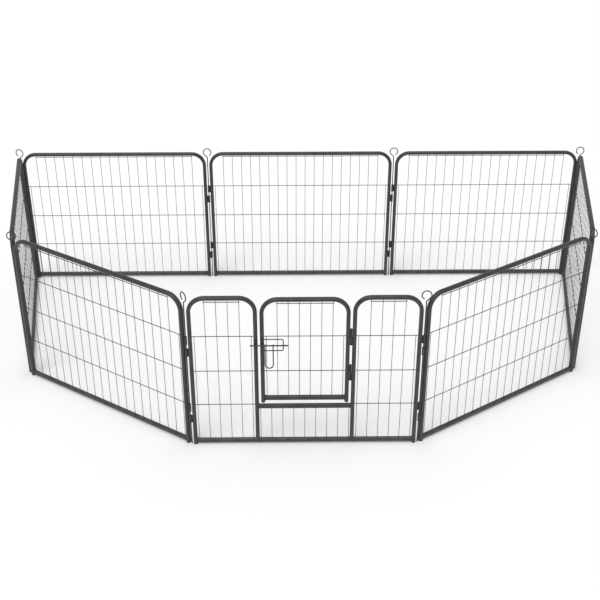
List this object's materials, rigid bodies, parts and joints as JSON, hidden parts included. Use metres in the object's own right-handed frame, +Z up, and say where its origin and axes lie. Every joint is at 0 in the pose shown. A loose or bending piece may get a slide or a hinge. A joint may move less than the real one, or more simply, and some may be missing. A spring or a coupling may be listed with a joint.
{
  "type": "pet playpen",
  "caption": "Folding pet playpen of framed steel wire panels, pinned together at the corners, with a small bolted door in the front panel.",
  "frame": {"origin": "on the ground, under the middle of the playpen", "axes": "+X to the right when facing the door from outside, +Y from the door to the back row, +Z up"},
  "size_m": [2.4364, 1.2676, 0.6184],
  "materials": {
    "tube_coat": "dark grey hammered powder coat, semi-gloss",
    "wire_coat": "dark grey powder coat, semi-gloss",
    "pin_coat": "near-black coat, semi-gloss",
    "foot_plastic": "black moulded plastic"
  },
  "bodies": {
    "back_middle_panel": {"back_middle_frame": "tube_coat", "back_middle_bottom_rail": "tube_coat", "back_middle_wire_grid": "wire_coat", "back_middle_foot_left": "foot_plastic", "back_middle_foot_right": "foot_plastic"},
    "back_right_panel": {"back_right_frame": "tube_coat", "back_right_bottom_rail": "tube_coat", "back_right_wire_grid": "wire_coat", "back_right_foot_left": "foot_plastic", "back_right_foot_right": "foot_plastic"},
    "side_right_panel": {"side_right_frame": "tube_coat", "side_right_bottom_rail": "tube_coat", "side_right_wire_grid": "wire_coat", "side_right_foot_left": "foot_plastic", "side_right_foot_right": "foot_plastic"},
    "front_right_panel": {"front_right_frame": "tube_coat", "front_right_bottom_rail": "tube_coat", "front_right_wire_grid": "wire_coat", "front_right_foot_left": "foot_plastic", "front_right_foot_right": "foot_plastic"},
    "front_left_panel": {"front_left_frame": "tube_coat", "front_left_bottom_rail": "tube_coat", "front_left_wire_grid": "wire_coat", "front_left_foot_left": "foot_plastic", "front_left_foot_right": "foot_plastic"},
    "side_left_panel": {"side_left_frame": "tube_coat", "side_left_bottom_rail": "tube_coat", "side_left_wire_grid": "wire_coat", "side_left_foot_left": "foot_plastic", "side_left_foot_right": "foot_plastic"},
    "back_left_panel": {"back_left_frame": "tube_coat", "back_left_bottom_rail": "tube_coat", "back_left_wire_grid": "wire_coat", "back_left_foot_left": "foot_plastic", "back_left_foot_right": "foot_plastic"},
    "door_panel": {"door_panel_hinge_arch": "tube_coat", "door_panel_latch_arch": "tube_coat", "door_panel_bottom_rail": "tube_coat", "door_panel_cross_rail": "tube_coat", "door_panel_hinge_grid": "wire_coat", "door_panel_latch_grid": "wire_coat", "door_panel_foot_left": "foot_plastic", "door_panel_foot_right": "foot_plastic", "door_hinge_pin_upper": "pin_coat", "door_hinge_pin_lower": "pin_coat", "latch_keeper": "pin_coat"},
    "door": {"door_frame": "tube_coat", "door_bottom_rail": "tube_coat", "door_wire_grid": "wire_coat", "latch_guide": "pin_coat"},
    "bolt": {"latch_bolt": "pin_coat"},
    "handle": {"latch_handle": "pin_coat"},
    "pin_1": {"corner_pin_1": "pin_coat"},
    "pin_2": {"corner_pin_2": "pin_coat"},
    "pin_3": {"corner_pin_3": "pin_coat"},
    "pin_4": {"corner_pin_4": "pin_coat"},
    "pin_5": {"corner_pin_5": "pin_coat"},
    "pin_6": {"corner_pin_6": "pin_coat"},
    "pin_7": {"corner_pin_7": "pin_coat"},
    "pin_8": {"corner_pin_8": "pin_coat"}
  },
  "joints": [
    {"name": "back_right_fold", "type": "hinge", "parent": "back_middle_panel", "child": "back_right_panel", "pos_m": [0.4, 0.62447, 0.3], "axis": [0, 0, 1], "range_deg": [0, 101]},
    {"name": "side_right_fold", "type": "hinge", "parent": "back_right_panel", "child": "side_right_panel", "pos_m": [1.2, 0.62447, 0.3], "axis": [0, 0, -1], "range_deg": [-201, 0]},
    {"name": "front_right_fold", "type": "hinge", "parent": "side_right_panel", "child": "front_right_panel", "pos_m": [1.06108, -0.16338, 0.3], "axis": [0, 0, 1], "range_deg": [-55, 146]},
    {"name": "back_left_fold", "type": "hinge", "parent": "back_middle_panel", "child": "back_left_panel", "pos_m": [-0.4, 0.62447, 0.3], "axis": [0, 0, -1], "range_deg": [0, 101]},
    {"name": "side_left_fold", "type": "hinge", "parent": "back_left_panel", "child": "side_left_panel", "pos_m": [-1.2, 0.62447, 0.3], "axis": [0, 0, 1], "range_deg": [-201, 0]},
    {"name": "front_left_fold", "type": "hinge", "parent": "side_left_panel", "child": "front_left_panel", "pos_m": [-1.06108, -0.16338, 0.3], "axis": [0, 0, -1], "range_deg": [0, 146]},
    {"name": "door_panel_fold", "type": "hinge", "parent": "front_left_panel", "child": "door_panel", "pos_m": [-0.4, -0.6139, 0.3], "axis": [0, 0, 1], "range_deg": [-135, 66]},
    {"name": "pin_1_pull", "type": "slide", "parent": "back_middle_panel", "child": "pin_1", "axis": [0, 0, 1], "range_m": [0, 0.45]},
    {"name": "pin_2_pull", "type": "slide", "parent": "back_middle_panel", "child": "pin_2", "axis": [0, 0, 1], "range_m": [0, 0.45]},
    {"name": "pin_3_pull", "type": "slide", "parent": "back_right_panel", "child": "pin_3", "axis": [0, 0, 1], "range_m": [0, 0.45]},
    {"name": "pin_4_pull", "type": "slide", "parent": "side_right_panel", "child": "pin_4", "axis": [0, 0, 1], "range_m": [0, 0.45]},
    {"name": "pin_5_pull", "type": "slide", "parent": "front_right_panel", "child": "pin_5", "axis": [0, 0, 1], "range_m": [0, 0.45]},
    {"name": "pin_6_pull", "type": "slide", "parent": "front_left_panel", "child": "pin_6", "axis": [0, 0, 1], "range_m": [0, 0.45]},
    {"name": "pin_7_pull", "type": "slide", "parent": "side_left_panel", "child": "pin_7", "axis": [0, 0, 1], "range_m": [0, 0.45]},
    {"name": "pin_8_pull", "type": "slide", "parent": "back_left_panel", "child": "pin_8", "axis": [0, 0, 1], "range_m": [0, 0.45]},
    {"name": "door_swing", "type": "hinge", "parent": "door_panel", "child": "door", "pos_m": [0.15515, -0.6139, 0.37], "axis": [0, 0, 1], "range_deg": [-77, 77]},
    {"name": "bolt_slide", "type": "slide", "parent": "door", "child": "bolt", "axis": [1, 0, 0], "range_m": [0, 0.029]},
    {"name": "handle_lift", "type": "hinge", "parent": "bolt", "child": "handle", "pos_m": [-0.1208, -0.62915, 0.417], "axis": [-1, 0, 0], "range_deg": [0, 175]}
  ]
}
